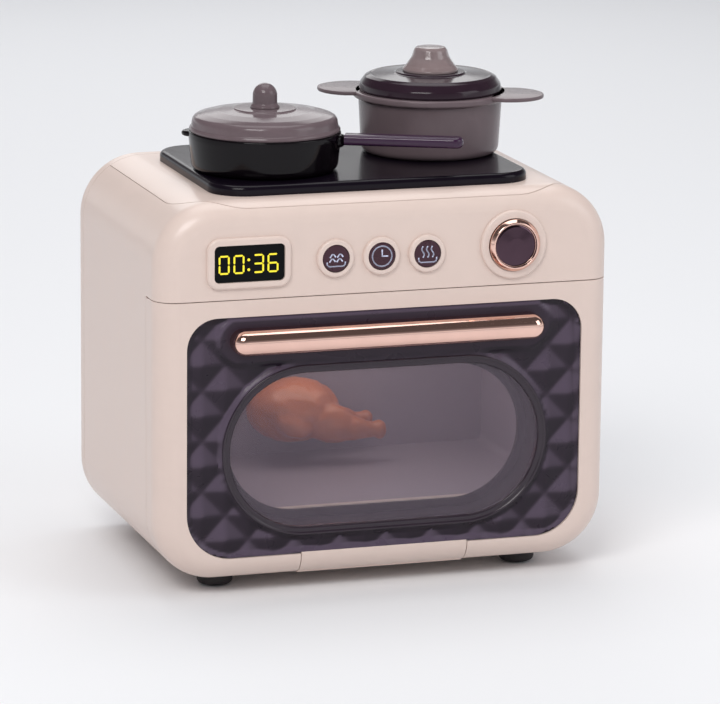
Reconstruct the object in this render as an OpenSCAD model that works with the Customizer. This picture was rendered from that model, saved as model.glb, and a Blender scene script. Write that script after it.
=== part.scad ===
// Toy oven with a drop-down door, a control panel, and a pan and a pot that lift off its hob.
// Millimetres, +Z up, front face towards -Y. The origin is on the floor, below the middle of the
// whole toy's outline. Inside the placed() blocks, Y counts back from the housing's front face.

/* [Housing] */
// Width of the housing
body_w = 182; // [172:1:200]
// Height of the housing, without feet and hob
body_h = 147; // [143:1:160]
// Depth of the housing
body_d = 120; // [118:1:135]
// Radius of the housing's corners, seen from the front
corner_r = 24; // [20:1:26]
// Rounding of the front edge
edge_r = 9; // [7:0.5:10]
// Rounding of the rear edge
rear_r = 6; // [4:0.5:8]
// Wall of the moulded shells
wall = 2.2; // [1.8:0.1:2.6]
// Depth of the rear cover
rear_d = 10; // [8:0.5:12]
// Gap at the seams between shells
seam = 0.3; // [0.2:0.05:0.5]
// Height of the feet
foot_h = 6; // [4:0.5:9]
// Diameter of the feet
foot_d = 14; // [10:1:18]
// Distance of the feet from the housing's sides
foot_side = 29; // [25:1:36]
// Distance of the top cover's edge from the housing's sides
cover_in = 11; // [8:1:14]
// Plan radius of the top cover's corners
cover_r = 26; // [18:1:32]

/* [Control panel] */
// Height of the control panel, from the top down to the door
control_h = 37; // [34:0.5:40]
// Distance of the controls' centre line below the top
control_drop = 23; // [21:0.5:24]
// Width of the display window
display_w = 27.5; // [22:0.5:32]
// Height of the display window
display_h = 14; // [10:0.5:16]
// Distance of the display's centre from the housing's side
display_side = 35.8; // [33:0.1:39]
// Width of the display's raised rim
display_rim_w = 2.9; // [2:0.1:3]
// Width of the buttons' raised rims
button_rim_w = 2.1; // [1.6:0.1:2.6]
// Width of the knob's raised rim
knob_rim_w = 3.3; // [2:0.1:3.6]
// Height of the raised rims
rim_out = 1.5; // [1.3:0.1:2]
// Diameter of a button
button_d = 10.6; // [9:0.1:12]
// Distance between buttons
button_pitch = 18.3; // [17:0.1:20]
// Place of the middle button
button_x = -2.8; // [-5:0.1:0]
// Travel of a button
button_travel = 1.2; // [0.8:0.1:1.4]
// Diameter of the knob
knob_d = 20.2; // [18:0.2:23]
// How far the knob stands out
knob_out = 4; // [3.5:0.5:8]
// Distance of the knob's centre from the housing's side
knob_side = 40.4; // [37:0.1:43]
// Height of the knob's centre above the buttons' centre line
knob_rise = 1.6; // [0:0.1:2]
// Diameter of the knob's shaft
shaft_d = 6; // [5:0.5:7]

/* [Door] */
// Depth of the door
door_d = 16; // [15:0.5:18]
// Width of the frame at the sides of the glass
frame_side = 11.75; // [10:0.25:14]
// Width of the frame above the glass
frame_top = 7; // [6:0.5:9]
// Width of the frame below the glass
frame_bottom = 9; // [8.5:0.25:9.5]
// Radius of the glass's upper corners
glass_top_r = 12; // [8:0.5:14]
// Radius of the glass's lower corners
glass_low_r = 18; // [14:0.5:20]
// Thickness of the glass
glass_t = 3; // [2.4:0.1:4]
// How far the glass lies behind the frame's face
glass_in = 0.4; // [0.2:0.1:0.6]
// Width of the oval window
window_w = 124.6; // [110:0.1:128]
// Height of the oval window
window_h = 60.6; // [54:0.1:62]
// Distance of the window's centre below the glass's centre
window_drop = 6.3; // [5.5:0.1:7]
// Width of the ring round the window
ring_w = 3.1; // [2.4:0.1:3.4]
// How far the ring stands out from the glass
ring_out = 0.7; // [0.4:0.1:1]
// How far the liner's rear plate stands into the oval tunnel behind the window
tunnel_lip = 3.2; // [0.4:0.2:5]
// Length of the door handle
handle_w = 125; // [100:1:130]
// Height of the door handle
handle_h = 10; // [8:0.5:11]
// How far the door handle stands out from the housing's face
handle_out = 8; // [6:0.5:10]
// Distance of the handle's centre below the top of the glass
handle_drop = 9.3; // [8.5:0.1:10]
// Distance of the hinge axis behind the front face
hinge_in = 6; // [5.8:0.1:6.4]
// Height of the hinge axis above the housing's base
hinge_up = 4; // [3.8:0.1:4.4]
// Width of the housing's knuckle in the middle of the door's lower edge
knuckle_w = 67; // [55:1:75]
// Diameter of the hinge pin
pin_d = 3; // [2:0.1:3.4]
// How far the pin reaches into the door on either side
pin_reach = 12; // [8:1:18]

/* [Cavity] */
// Inside width of the oven cavity
cavity_w = 150; // [120:1:151]
// Inside height of the oven cavity
cavity_h = 77; // [70:1:78]
// Height of the cavity's floor above the housing's base
cavity_up = 23; // [22:0.5:24]
// Inside depth of the cavity
cavity_d = 83.5; // [75:0.5:84]
// Wall of the cavity
cavity_t = 1.5; // [1.2:0.1:1.8]
// Length of the toy roast
roast_w = 57; // [50:1:62]
// Thickness of the toy roast
roast_h = 26; // [22:0.5:28]
// Height of the toy roast's centre above the cavity's floor
roast_up = 20; // [18:1:26]

/* [Hob] */
// Width of the hob plate
hob_w = 128; // [120:1:136]
// Depth of the hob plate
hob_d = 94; // [84:1:96]
// Height of the hob plate
hob_h = 4; // [3:0.5:6]
// Plan radius of the hob's corners
hob_r = 14; // [8:1:20]
// Distance of the hob behind the front face
hob_in = 12; // [10:0.5:14]

/* [Pan] */
// Outer diameter of the pan
pan_d = 59; // [50:1:62]
// Height of the pan
pan_h = 15; // [12:0.5:20]
// Place of the pan, left of the middle
pan_x = -35; // [-38:0.5:-33]
// Place of the pan, behind the front face
pan_y = 47; // [44:0.5:50]
// Wall of the pan and the pot
pot_t = 1.8; // [1.4:0.1:2.4]
// Length of the pan's handle
pan_handle_l = 46; // [36:1:52]
// Width of the pan's handle
pan_handle_w = 8; // [6:0.5:10]
// Height of the pan's handle
pan_handle_h = 4.4; // [3.5:0.1:5]
// Height of the pan lid's dome
pan_lid_h = 8.2; // [7:0.1:10]
// Height of the pan lid's knob
pan_knob_h = 9.6; // [7:0.1:13]
// Direction of the pan's handle, from +X
pan_angle = -25; // [-35:1:-20]

/* [Pot] */
// Outer diameter of the pot
pot_d = 56.6; // [50:0.2:60]
// Height of the pot
pot_h = 24.4; // [20:0.1:26]
// Place of the pot, right of the middle
pot_x = 39.2; // [37:0.1:40]
// Place of the pot, behind the front face
pot_y = 67.4; // [64:0.1:70]
// How far the pot's rim stands out
pot_rim = 2.1; // [1.5:0.1:3]
// Height of the pot's rim
pot_rim_h = 2.4; // [1.8:0.1:3]
// Direction of the pot's ears, from +X
ear_angle = -30; // [-38:1:-25]
// Reach of the pot's ears from its centre
ear_reach = 45.5; // [42:0.5:47]
// Width of the pot's ears
ear_w = 28; // [22:0.5:30]
// Thickness of the pot's ears
ear_t = 1.6; // [1.2:0.1:1.8]
// Height of the pot lid, without its knob
pot_lid_h = 7.6; // [6:0.1:9]
// Height of the pot lid's knob
pot_knob_h = 9.6; // [7:0.1:12]

/* [Rear] */
// Diameter of the loudspeaker
speaker_d = 36; // [28:1:40]
// Diameter of the loudspeaker's magnet
magnet_d = 20; // [16:1:24]
// Depth of the loudspeaker
speaker_deep = 10; // [8:0.5:12]
// Place of the loudspeaker's centre
speaker_x = 40; // [36:1:44]
// Diameter of a battery cell
cell_d = 10.5; // [10:0.1:10.6]
// Length of a battery cell
cell_l = 44.5; // [42:0.5:45]
// Place of the battery box's centre
battery_x = -38; // [-42:1:-34]
// Travel of the power switch
switch_travel = 4; // [2:0.5:5]

/* [Hidden] */
$fn = 64;
small_fn = 32;

cream = [0.87, 0.78, 0.73];
smoke = [0.26, 0.21, 0.25];
rose = [0.85, 0.62, 0.55];
black = [0.06, 0.06, 0.08];
steel = [0.72, 0.73, 0.75];
plum = [0.20, 0.12, 0.20];
taupe = [0.42, 0.37, 0.36];

eps = 0.01;
slack = 0.15;
run_gap = 0.3;
far = 400;

// Heights and places that several pieces share
front_y = (handle_out - body_d) / 2;
base_z = foot_h;
top_z = base_z + body_h;
split_z = top_z - control_h;
control_z = top_z - control_drop;
display_x = display_side - body_w / 2;
knob_x = body_w / 2 - knob_side;
knob_z = control_z + knob_rise;
glass_w = body_w - 2 * frame_side;
glass_z0 = base_z + frame_bottom;
glass_z1 = split_z - frame_top;
window_z = (glass_z0 + glass_z1) / 2 - window_drop;
handle_z = glass_z1 - handle_drop;
hinge_z = base_z + hinge_up;
knuckle_r = sqrt(pow(hinge_in - glass_in, 2) + pow(frame_bottom - hinge_up + 0.2, 2));
sweep_r = knuckle_r + 0.25;
heel_r = 5;
door_x = knuckle_w / 2 + run_gap;
mouth_y = door_d + run_gap;
bulk_y = mouth_y + wall;
rear_y = body_d - rear_d;
cover_y = edge_r * (1 - cos(45));
cover_half_w = body_w / 2 - cover_in;
rail_z = top_z - corner_r + sqrt(pow(corner_r - wall, 2) - pow(corner_r - cover_in, 2)) - 0.2;
cavity_z = base_z + cavity_up;
cavity_back = bulk_y + cavity_d;
catch_z = split_z - 4.8;
board_y = 9.4;
board_t = 1.6;
hob_z = top_z + hob_h;
pan_rim_z = hob_z + pan_h;
pot_rim_z = hob_z + pot_h;
button_xs = [button_x - button_pitch, button_x, button_x + button_pitch];
screw_r = 1.3;
head_r = 2.6;
head_t = 1.6;
long_boss_x = (cavity_w / 2 + cavity_t + body_w / 2 - wall) / 2;
long_boss_z = [cavity_z + 8, cavity_z + cavity_h - 4];
long_boss_r = 3.4;
door_boss_x = (glass_w / 2 + body_w / 2 - wall) / 2 + 0.2;
door_boss_z = [base_z + corner_r + 6, glass_z1 - 8];
foot_x = body_w / 2 - foot_side;
foot_ys = [22, rear_y - 12];
hob_peg_x = hob_w / 2 - 16;
hob_peg_ys = [hob_in + 16, hob_in + hob_d - 16];
board_x0 = display_x - display_w / 2 - 11;
board_x1 = knob_x + 11;
board_post_xs = [board_x0 + 4, knob_x - knob_d / 2 - 16.5];
cell_pitch = cell_d + 0.6;
box_w = 3 * cell_pitch + 2.4;
box_h = cell_l + 7;
box_z = cavity_z + 33;
box_y0 = cavity_back + cavity_t + run_gap;
box_y1 = body_d - wall - seam;
hatch_t = wall;
hatch_w = box_w - 3;
hatch_h = box_h + 12;
hatch_z = box_z + 3.5;
hatch_screw_z = box_z + box_h / 2 + 5;
switch_z = top_z - 24;
speaker_z = cavity_z + 32;
lamp_y = (bulk_y + cavity_back) / 2;
roast_x = -2.5;
roast_y = cavity_back - 18;
handle_screw_x = handle_w / 2 - 14;
tact_y = board_y - 2.5;
tab_x = cavity_w / 2 + cavity_t + 3.4;
tab_zs = [cavity_z + 24, cavity_z + 56];
tab_y = bulk_y + 8;

module placed() translate([0, front_y, 0]) children();

// ---------- Rounded shapes ----------

// Half section of a rounded disc: x is the radius, y the depth, f and b round its two edges
module edge_section(r, d, f, b) {
    translate([-1, f]) square([r + 1, d - f - b]);
    translate([-1, 0]) square([r - f + 1, d / 2]);
    translate([-1, d / 2]) square([r - b + 1, d / 2]);
    if (f > 0) translate([r - f, f]) circle(f);
    if (b > 0) translate([r - b, d - b]) circle(b);
}

module rounded_disc(r, d, f, b) rotate([-90, 0, 0]) rotate_extrude()
    intersection() {
        edge_section(r, d, f, b);
        square([r, d]);
    }

// Box with rounded corners of radius r seen from the front; f and b round front and rear edges
module pillow(w, z0, z1, d, r, f, b) {
    cx = w / 2 - r;
    for (x = [-cx, cx], z = [z0 + r, z1 - r]) translate([x, 0, z]) rounded_disc(r, d, f, b);
    translate([0, 0, z1 - r]) rotate([0, -90, 0])
        linear_extrude(2 * cx, center = true) edge_section(r, d, f, b);
    translate([0, 0, z0 + r]) rotate([0, 90, 0])
        linear_extrude(2 * cx, center = true) edge_section(r, d, f, b);
    for (s = [0, 1]) mirror([s, 0, 0]) translate([cx, 0, z0 + r])
        linear_extrude(z1 - z0 - 2 * r) edge_section(r, d, f, b);
    translate([-cx, 0, z0 + r]) cube([2 * cx, d, z1 - z0 - 2 * r]);
}

// Bar with round ends, lying along x, its front edge rounded
module pill(w, h, d, f) {
    for (s = [-1, 1]) translate([s * (w - h) / 2, 0, 0]) rounded_disc(h / 2, d, f, 0);
    for (a = [-90, 90]) rotate([0, a, 0])
        linear_extrude(w - h, center = true) edge_section(h / 2, d, f, 0);
}

// Flat outlines in x and z, extruded back from y0 to y1
module slab(y0, y1) translate([0, y1, 0]) rotate([90, 0, 0]) linear_extrude(y1 - y0) children();

module stadium(w, h) {
    square([w - h, h], center = true);
    for (s = [-1, 1]) translate([s * (w - h) / 2, 0]) circle(d = h);
}

// Rectangle with its lower edge at y = 0 and its own upper and lower corner radii
module plate_outline(w, h, top_r, low_r) {
    translate([-w / 2, low_r]) square([w, h - top_r - low_r]);
    translate([-w / 2 + low_r, 0]) square([w - 2 * low_r, low_r + eps]);
    translate([-w / 2 + top_r, h - top_r - eps]) square([w - 2 * top_r, top_r + eps]);
    for (s = [-1, 1]) {
        translate([s * (w / 2 - low_r), low_r]) circle(low_r);
        translate([s * (w / 2 - top_r), h - top_r]) circle(top_r);
    }
}

module round_rect(w, h, r) translate([0, -h / 2]) plate_outline(w, h, r, r);

module at_xz(x, z) translate([x, 0, z]) children();

// Round bar along y
module rod(r, y0, y1, fn = small_fn) translate([0, y0, 0]) rotate([-90, 0, 0])
    cylinder(r = r, h = y1 - y0, $fn = fn);

// Round bar along x on the hinge axis
module hinge_rod(r, len, fn = 64) translate([-len / 2, hinge_in, hinge_z]) rotate([0, 90, 0])
    cylinder(r = r, h = len, $fn = fn);

module block(x0, x1, y0, y1, z0, z1) translate([x0, y0, z0]) cube([x1 - x0, y1 - y0, z1 - z0]);

// Wood-screw shape along +y from its head at y = 0
module screw(len, r = screw_r) {
    rod(head_r, 0, head_t);
    rod(r, 0, len);
}

// ---------- Housing ----------

module body_outside() pillow(body_w, base_z, top_z, body_d, corner_r, edge_r, rear_r);

module body_inside(gap = 0) {
    t = wall + gap;
    translate([0, t, 0]) pillow(body_w - 2 * t, base_z + t, top_z - t, body_d - 2 * t,
        corner_r - t, edge_r - t, rear_r - t);
}

module body_shell() difference() {
    body_outside();
    body_inside();
}

// Plan outline of the top cover
module cover_plan(grow) translate([0, cover_y - grow])
    translate([-cover_half_w - grow, 0]) difference() {
        square([2 * (cover_half_w + grow), far]);
        for (s = [0, 1]) translate([s * 2 * (cover_half_w + grow), 0]) mirror([s, 0]) difference() {
            square(cover_r);
            translate([cover_r, cover_r]) circle(cover_r);
        }
    }

module cover_prism(grow) translate([0, 0, top_z - 13]) linear_extrude(14) cover_plan(grow);

// Raised rims, moulded on the control panel
module display_rim() difference() {
    translate([0, -rim_out, 0])
        pillow(display_w + 2 * display_rim_w, -display_h / 2 - display_rim_w,
            display_h / 2 + display_rim_w, rim_out + wall / 2, 5, 1.2, 0);
    slab(-far, far) round_rect(display_w + 2 * slack, display_h + 2 * slack, 2);
}

module panel_rims() {
    at_xz(display_x, control_z) display_rim();
    for (x = button_xs) at_xz(x, control_z) button_rim();
    at_xz(knob_x, knob_z) knob_rim();
}

// Ring whose front edge is rounded
module soft_ring(r_in, r_out, out, f) difference() {
    translate([0, -out, 0]) rounded_disc(r_out, out + wall / 2, f, 0);
    rod(r_in, -far, far, 64);
}

module button_rim() soft_ring(button_d / 2 + slack, button_d / 2 + button_rim_w, rim_out, 0.9);

module knob_rim() soft_ring(knob_d / 2 + run_gap, knob_d / 2 + knob_rim_w, rim_out, 1);

module panel_holes() {
    at_xz(display_x, control_z) slab(-1, wall + 1)
        round_rect(display_w + 2 * slack, display_h + 2 * slack, 2);
    for (x = button_xs) at_xz(x, control_z) rod(button_d / 2 + slack, -1, wall + 1, 64);
    at_xz(knob_x, knob_z) rod(shaft_d / 2 + run_gap, -1, wall + 1);
}

// Wall behind the door, open at the cavity's mouth and at the catch
module bulkhead() difference() {
    intersection() {
        body_outside();
        block(-far, far, mouth_y, bulk_y, 0, split_z + wall);
    }
    slab(0, far) translate([0, cavity_z]) plate_outline(cavity_w, cavity_h, 6, 3);
    block(-6, 6, 0, far, catch_z - 2.6, catch_z + 2.8);
}

// Block that stands in the middle of the door's lower edge and holds the hinge pin
module knuckle() {
    intersection() {
        body_outside();
        hinge_rod(knuckle_r, knuckle_w);
    }
    block(-knuckle_w / 2, knuckle_w / 2, hinge_in, mouth_y + eps, base_z, base_z + wall);
}

module housing_walls() difference() {
    intersection() {
        body_shell();
        block(-far, far, -1, rear_y - seam, 0, far);
    }
    block(-far, far, -1, mouth_y, hinge_z - run_gap, split_z);
    block(-far, far, -1, hinge_in, 0, split_z);
    hinge_rod(heel_r + run_gap, far);
    cover_prism(seam / 2);
}

module main_housing() color(cream) placed() difference() {
    union() {
        housing_walls();
        bulkhead();
        knuckle();
        panel_rims();
        intersection() {
            body_outside();
            block(-far, far, 0, bulk_y, split_z, split_z + wall);
        }
        for (s = [0, 1]) mirror([s, 0, 0])
            block(cover_half_w - 3, cover_half_w + 3, 24, rear_y - 8, rail_z - 2.6, rail_z);
        for (x = [-1, 1] * tab_x, z = tab_zs) at_xz(x, z) rod(3, bulk_y - eps, tab_y);
        for (x = [-1, 1] * long_boss_x, z = long_boss_z)
            at_xz(x, z) rod(long_boss_r, bulk_y - eps, rear_y - seam);
        for (x = board_post_xs) at_xz(x, control_z - 6.5) rod(2.6, wall - eps, board_y);
    }
    panel_holes();
    hinge_rod(pin_d / 2 + 0.03, far, small_fn);
    for (x = [-1, 1] * long_boss_x, z = long_boss_z)
        at_xz(x, z) rod(screw_r + 0.05, rear_y - 16, far);
    for (x = [-1, 1] * tab_x, z = tab_zs) at_xz(x, z) rod(screw_r + 0.05, bulk_y + 0.6, tab_y + 1);
    for (x = board_post_xs) at_xz(x, control_z - 6.5) rod(screw_r + 0.05, wall + 1, board_y + 1);
    for (x = [-1, 1] * foot_x, y = foot_ys)
        translate([x, y, 0]) cylinder(r = 2.6, h = base_z + wall + 1, $fn = small_fn);
}

module top_cover() color(cream) placed() difference() {
    intersection() {
        body_shell();
        cover_prism(-seam / 2);
        block(-far, far, 0, rear_y - seam, 0, far);
    }
    for (x = [-1, 1] * hob_peg_x, y = hob_peg_ys)
        translate([x, y, top_z - 9]) cylinder(r = 2.5 + slack, h = 20, $fn = small_fn);
}

module rear_cover() color(cream) placed() difference() {
    union() {
        intersection() {
            body_shell();
            block(-far, far, rear_y, far, 0, far);
        }
        for (x = [-1, 1] * long_boss_x, z = long_boss_z) at_xz(x, z)
            rod(long_boss_r + 1, rear_y, body_d - wall + eps);
    }
    for (x = [-1, 1] * long_boss_x, z = long_boss_z) at_xz(x, z) {
        rod(screw_r + 0.3, 0, far);
        rod(head_r + 0.4, body_d - 4, far);
    }
    at_xz(battery_x, hatch_z) slab(rear_y, far)
        round_rect(hatch_w + 2 * seam, hatch_h + 2 * seam, 3);
    for (i = [-3:3]) at_xz(speaker_x, speaker_z + 4.4 * i) slab(rear_y, far)
        stadium(2 * sqrt(pow(speaker_d / 2 - 2, 2) - pow(4.4 * i, 2)), 2);
    at_xz(0, switch_z) slab(rear_y, far) stadium(16, 6);
}

module oven_cavity() color([0.72, 0.66, 0.70]) placed() difference() {
    union() {
        slab(bulk_y, cavity_back + cavity_t) translate([0, cavity_z - cavity_t])
            plate_outline(cavity_w + 2 * cavity_t, cavity_h + 2 * cavity_t, 6 + cavity_t, 3 + cavity_t);
        for (s = [-1, 1], z = tab_zs) at_xz(s * tab_x, z) {
            rod(3.4, tab_y, tab_y + 2);
            block(min(-s * 3.6, 0), max(-s * 3.6, 0), tab_y, tab_y + 2, -3.4, 3.4);
        }
    }
    for (x = [-1, 1] * tab_x, z = tab_zs) at_xz(x, z) rod(screw_r + slack, 0, far);
    slab(bulk_y - 1, cavity_back) translate([0, cavity_z]) plate_outline(cavity_w, cavity_h, 6, 3);
    translate([0, lamp_y, cavity_z + cavity_h - 1]) cylinder(r = 9 + slack, h = 10);
    at_xz(roast_x, cavity_z + roast_up) rod(screw_r + slack, bulk_y, far);
}

module cavity_screws() color(steel) placed()
    for (x = [-1, 1] * tab_x, z = tab_zs) at_xz(x, z)
        translate([0, tab_y + 2 + head_t, 0]) rotate([0, 0, 180]) screw(9);

module foot(x, y) color(black) placed() translate([x, y, 0]) {
    translate([0, 0, foot_h]) rotate([-90, 0, 0]) foot_disc();
    cylinder(r = 2.5, h = foot_h + wall, $fn = small_fn);
}

module foot_disc() rounded_disc(foot_d / 2, foot_h, 0, 2);

// ---------- Hob ----------

module hob_plate() color(black) placed() difference() {
    union() {
        translate([0, 0, hob_z]) rotate([-90, 0, 0])
            pillow(hob_w, hob_in, hob_in + hob_d, hob_h, hob_r, 2, 0);
        for (x = [-1, 1] * hob_peg_x, y = hob_peg_ys) translate([x, y, top_z - wall - 0.1])
            cylinder(r = 2.5, h = wall + 0.1 + eps, $fn = small_fn);
    }
    for (x = [-1, 1] * hob_peg_x, y = hob_peg_ys) translate([x, y, top_z - 9])
        cylinder(r = screw_r + 0.05, h = 11.6, $fn = small_fn);
}

module hob_screws() color(steel) placed()
    for (x = [-1, 1] * hob_peg_x, y = hob_peg_ys) translate([x, y, top_z - wall - 0.1 - head_t]) {
        cylinder(r = 4, h = head_t, $fn = small_fn);
        cylinder(r = screw_r, h = head_t + 4, $fn = small_fn);
    }

// ---------- Display, buttons, knob and board ----------

module display_screen() color(black) placed() at_xz(display_x, control_z) {
    slab(-0.6, wall + 0.1) round_rect(display_w, display_h, 1.85);
    slab(wall + 0.1, board_y - 0.1) round_rect(display_w + 4, display_h + 4, 3);
}

module button(i) color([0.24, 0.13, 0.16]) placed() at_xz(button_xs[i], control_z) {
    translate([0, -rim_out + 0.1, 0]) rounded_disc(button_d / 2, wall + rim_out + 0.4, 0.5, 0);
    rod(button_d / 2 + 1, wall + slack, wall + 1.2, 64);
    rod(2, wall + 1, tact_y - button_travel - 0.1);
}

// Return spring between a button and the board
module button_spring(i) color(steel) placed() at_xz(button_xs[i], control_z)
    rotate([-90, 0, 0]) spring_coil(wall + 1.3, board_y - 0.1, 3.6, 0.35, 3);

module spring_coil(y0, y1, r, wire, turns) {
    steps = 12 * turns;
    sides = 6;
    pts = [for (i = [0:steps], k = [0:sides - 1])
        let (a = 360 * turns * i / steps, u = 360 * k / sides, rr = r + wire * cos(u))
        [rr * cos(a), rr * sin(a), y0 + wire + (y1 - y0 - 2 * wire) * i / steps + wire * sin(u)]];
    sidefaces = [for (i = [0:steps - 1], k = [0:sides - 1], t = [0, 1])
        let (a = i * sides + k, b = i * sides + (k + 1) % sides)
        t == 0 ? [a, b, b + sides] : [a, b + sides, a + sides]];
    ends = [for (k = [1:sides - 2]) [0, k + 1, k]];
    ends2 = [for (k = [1:sides - 2]) [steps * sides, steps * sides + k, steps * sides + k + 1]];
    polyhedron(points = pts, faces = concat(sidefaces, ends, ends2));
}

module knob_cap() color(rose) placed() at_xz(knob_x, knob_z) difference() {
    translate([0, -knob_out, 0]) rounded_disc(knob_d / 2, knob_out - run_gap, 2.6, 0);
    rod(shaft_d / 2 + 0.02, -knob_out + 2, far);
}

module knob_shaft() color(steel) placed() at_xz(knob_x, knob_z)
    rod(shaft_d / 2, -knob_out + 2, board_y - 1 - slack);

module knob_encoder() color(black) placed() at_xz(knob_x, knob_z) difference() {
    slab(wall + 0.2, board_y - 0.05) round_rect(14, 13, 1);
    rod(shaft_d / 2 + 0.05, 0, board_y - 1);
}

module circuit_board() color([0.10, 0.36, 0.22]) placed() difference() {
    slab(board_y, board_y + board_t) translate([board_x0, control_z - 11])
        square([board_x1 - board_x0, 21]);
    for (x = board_post_xs) at_xz(x, control_z - 6.5) rod(screw_r + slack, 0, far);
}

module board_screws() color(steel) placed() for (x = board_post_xs)
    at_xz(x, control_z - 6.5) translate([0, board_y + board_t + head_t, 0]) rotate([0, 0, 180])
        screw(7);

// Chip, crystal and small parts on the back of the board, and the switches below the buttons
module board_parts() color(black) placed() {
    y0 = board_y + board_t;
    block(board_x0 + 39.95, board_x0 + 51.95, y0, y0 + 2.4, control_z - 6, control_z + 6);
    block(2, 9, y0, y0 + 3.2, control_z - 2, control_z + 7);
    for (x = [0:4:20]) block(knob_x - 16.6 + x, knob_x - 14.6 + x, y0, y0 + 1.4, control_z - 8, control_z - 4);
    for (x = button_xs) at_xz(x, control_z) rod(2.6, tact_y, board_y);
}

// ---------- Cavity fittings ----------

module lamp_lens() color([1, 0.96, 0.85, 0.6]) placed()
    translate([0, lamp_y, cavity_z + cavity_h]) {
        cylinder(r = 9, h = cavity_t);
        translate([0, 0, cavity_t]) cylinder(r = 11, h = 1);
    }

module oven_lamp() color([1, 0.9, 0.6]) placed()
    translate([0, lamp_y, cavity_z + cavity_h + cavity_t + 1]) {
        cylinder(r = 2.9, h = 1);
        cylinder(r = 2.5, h = 5, $fn = small_fn);
        translate([0, 0, 5]) sphere(2.5);
    }

// Roast fowl with two drumsticks, on a round peg from the back wall
module toy_roast() color([0.71, 0.42, 0.22]) placed()
    translate([roast_x, roast_y, cavity_z + roast_up]) {
        r = roast_h / 2;
        hull() {
            translate([r - roast_w / 2, 0, 0.5]) sphere(r, $fn = 32);
            translate([roast_w / 2 - 22, 0, -1]) sphere(r - 1.5, $fn = 32);
            translate([-5, -1, 3]) sphere(r - 0.6, $fn = 32);
        }
        for (s = [-1, 1]) hull() {
            translate([roast_w / 2 - 24, 7 * s, -5]) sphere(6.6, $fn = 32);
            translate([roast_w / 2 - 3, 9 * s, -1]) sphere(3, $fn = 32);
        }
        difference() {
            rod(4.5, 4, cavity_back - roast_y);
            rod(screw_r + 0.05, 12, far);
        }
    }

module roast_screw() color(steel) placed() at_xz(roast_x, cavity_z + roast_up)
    translate([0, cavity_back + cavity_t + 1.2, 0]) rotate([0, 0, 180]) {
        rod(head_r, 0, 1.2);
        rod(screw_r, 0, 7);
    }

// Two leaf arms that grip the door's catch
module catch_spring() color(steel) placed() {
    for (z = [catch_z - 2 - 0.2 - 0.8, catch_z + 2 + 0.5]) block(-5, 5, bulk_y, bulk_y + 6, z, z + 0.8);
    block(-5, 5, bulk_y + 5.2, bulk_y + 6, catch_z - 3, catch_z + 3.3);
}

// ---------- Rear fittings ----------

module speaker() color(black) placed() at_xz(speaker_x, speaker_z) {
    y1 = body_d - wall;
    rod(speaker_d / 2, y1 - 2, y1, 64);
    rotate([90, 0, 0]) translate([0, 0, -y1])
        cylinder(r1 = speaker_d / 2 - 1, r2 = magnet_d / 2, h = speaker_deep - 3);
    rod(magnet_d / 2, y1 - speaker_deep, y1 - speaker_deep + 4, 64);
}

module speaker_clamp() color(cream) placed() at_xz(speaker_x, speaker_z) difference() {
    union() {
        rod(speaker_d / 2 + 3, body_d - wall - 3.6, body_d - wall, 64);
        for (s = [-1, 1]) translate([s * (speaker_d / 2 + 4), 0, 0])
            rod(3, body_d - wall - 3.6, body_d - wall);
    }
    rod(speaker_d / 2 + slack, body_d - wall - 2, far, 64);
    rod(speaker_d / 2 - 1, 0, far, 64);
}

module battery_box() color(smoke) placed() at_xz(battery_x, box_z) difference() {
    union() {
        block(-box_w / 2, box_w / 2, box_y0, box_y1, -box_h / 2, box_h / 2);
        translate([0, 0, hatch_screw_z - box_z]) rod(4, box_y0 + 4, box_y1);
        block(-3, 3, box_y0 + 4, box_y1, box_h / 2 - 1, hatch_screw_z - box_z);
    }
    for (i = [-1:1]) translate([i * cell_pitch, box_y0 + cell_d / 2 + 1, 0]) {
        cylinder(d = cell_d + 0.4, h = box_h - 2.4, center = true);
        block(-cell_d / 2 - 0.2, cell_d / 2 + 0.2, 0, far, -box_h / 2 + 1.2, box_h / 2 - 1.2);
    }
    translate([0, 0, hatch_screw_z - box_z]) rod(screw_r + 0.05, box_y0 + 5, far);
}

module battery_cells() color([0.35, 0.37, 0.40]) placed() at_xz(battery_x, box_z)
    for (i = [-1:1]) translate([i * cell_pitch, box_y0 + cell_d / 2 + 1, 0])
        mirror([0, 0, i == 0 ? 1 : 0]) {
            cylinder(d = cell_d, h = cell_l - 1, center = true);
            translate([0, 0, cell_l / 2 - 0.5]) cylinder(r = 1.9, h = 1, $fn = small_fn);
        }

module battery_contacts() color(steel) placed() at_xz(battery_x, box_z)
    for (s = [-1, 1], i = [-1:1])
        translate([i * cell_pitch, box_y0 + cell_d / 2 + 1, s * (box_h / 2 - 1.2 - 0.3)])
            cube([8, 7, 0.5], center = true);

module battery_door() color(cream) placed() at_xz(battery_x, hatch_z) difference() {
    slab(body_d - hatch_t, body_d) round_rect(hatch_w, hatch_h, 3 - seam);
    translate([0, 0, hatch_screw_z - hatch_z]) {
        rod(screw_r + 0.1, 0, far);
        rod(head_r + 0.2, body_d - 1.3, far);
    }
}

module battery_door_screw() color(steel) placed() at_xz(battery_x, hatch_screw_z)
    translate([0, body_d, 0]) rotate([0, 0, 180]) {
        rod(head_r, 0.1, 1.3);
        rod(screw_r, 0.1, 8);
    }

module switch_case() color(steel) placed() at_xz(0, switch_z)
    block(-11, 11, body_d - wall - 6, body_d - wall, -5, 5);

module switch_slider() color(black) placed() at_xz(-switch_travel / 2, switch_z) {
    block(-2.5, 2.5, body_d - wall + slack, body_d - 0.4, -2, 2);
    for (i = [-1:1]) block(1.5 * i - 0.35, 1.5 * i + 0.35, body_d - 0.41, body_d - 0.1, -2, 2);
}

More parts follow.
